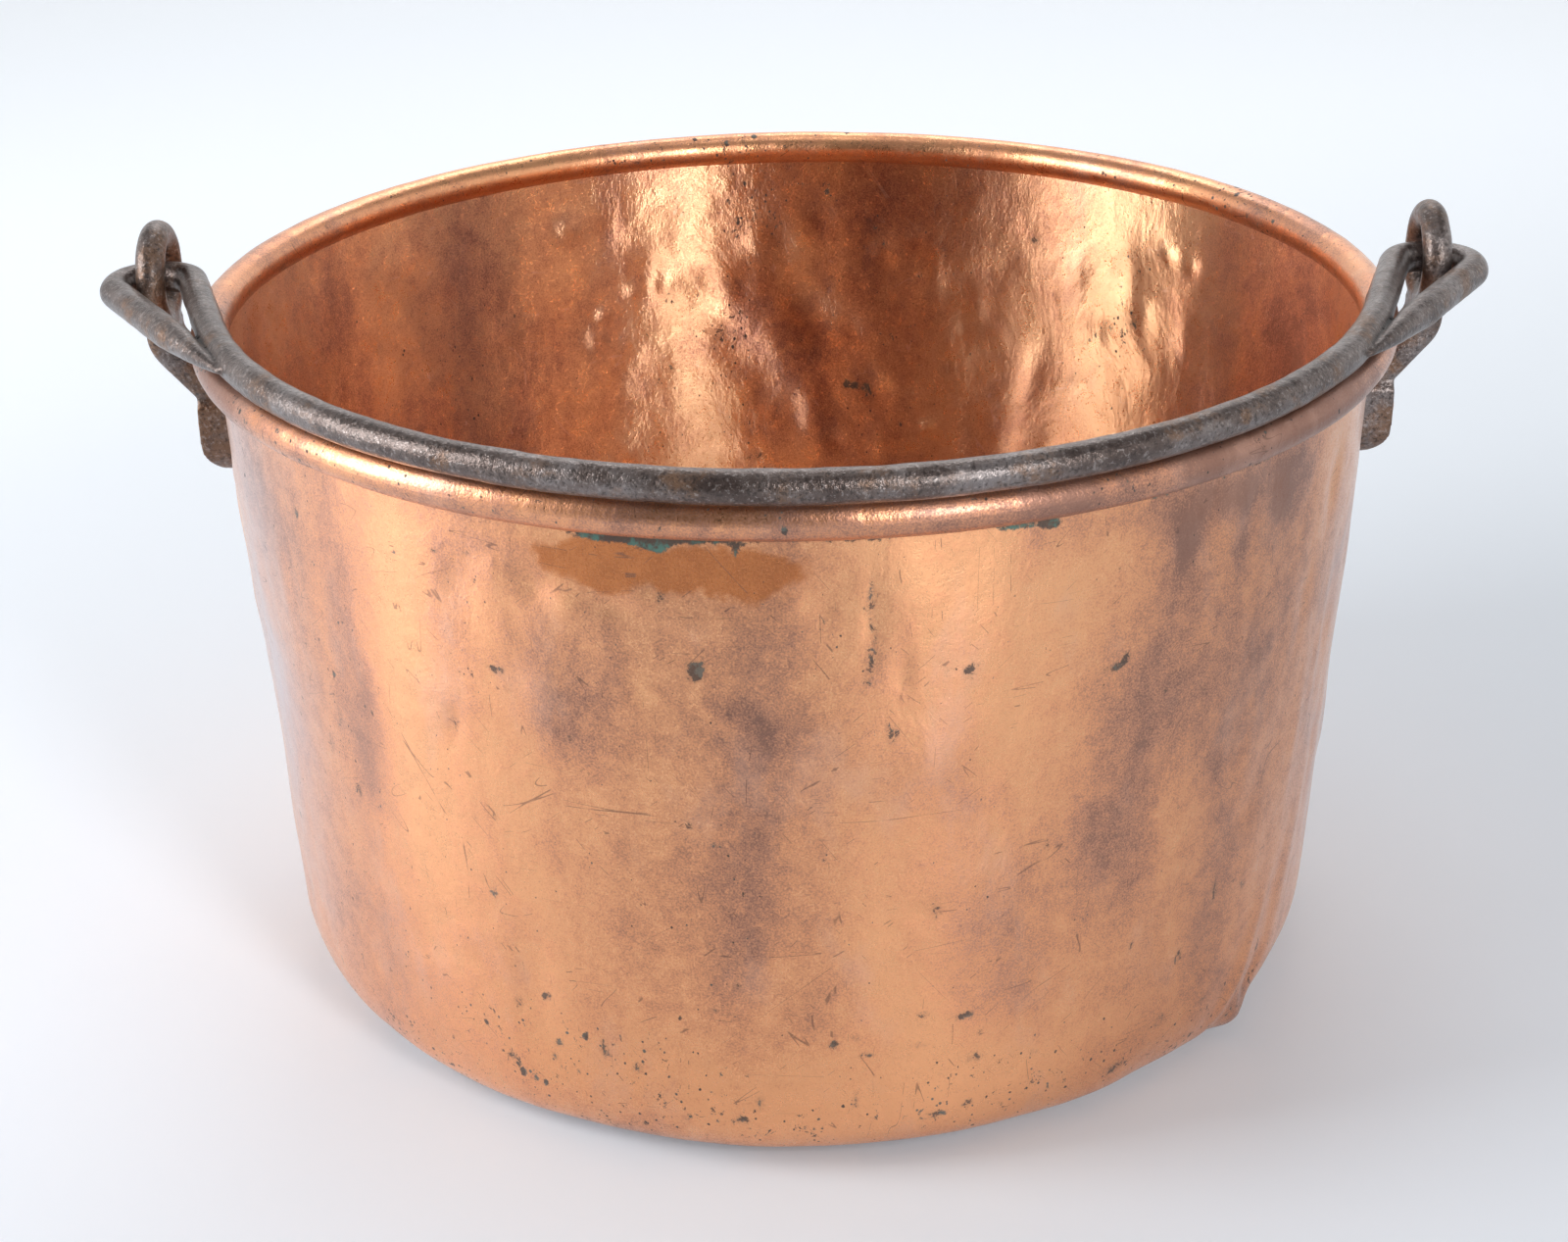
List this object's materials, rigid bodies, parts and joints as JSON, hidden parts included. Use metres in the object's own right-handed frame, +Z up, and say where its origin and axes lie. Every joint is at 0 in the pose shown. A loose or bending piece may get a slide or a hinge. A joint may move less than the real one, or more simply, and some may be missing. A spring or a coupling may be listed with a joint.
{
  "type": "cauldron",
  "caption": "Copper cauldron with a tapering wall, rolled rim, forged iron lugs riveted to the wall and a swinging iron bail that folds down onto the rim.",
  "frame": {"origin": "centre of the flat underside of the base, on the pot's axis", "axes": "+Z up along the pot's axis, +X through the right lug's eye along the bail's hinge line, -Y towards the folded bail"},
  "size_m": [0.665, 0.5855, 0.3793],
  "materials": {
    "copper": "old raised copper, browned, scratched and dented",
    "iron_hoop": "raw iron, hidden inside the roll",
    "forged_iron": "hand-forged wrought iron with a dull dark sheen",
    "copper_rivet": "hammered copper, tarnished",
    "bail_iron": "hand-forged wrought iron, worn to a grey sheen"
  },
  "bodies": {
    "pot": {"cauldron_body": "copper", "rim_hoop": "iron_hoop", "left_lug": "forged_iron", "right_lug": "forged_iron", "left_lug_rivets": "copper_rivet", "right_lug_rivets": "copper_rivet"},
    "bail": {"bail_handle": "bail_iron"}
  },
  "joints": [
    {"name": "bail_hinge", "type": "hinge", "parent": "pot", "child": "bail", "pos_m": [0, 0, 0.3518], "axis": [-1, 0, 0], "range_deg": [0, 180]}
  ]
}
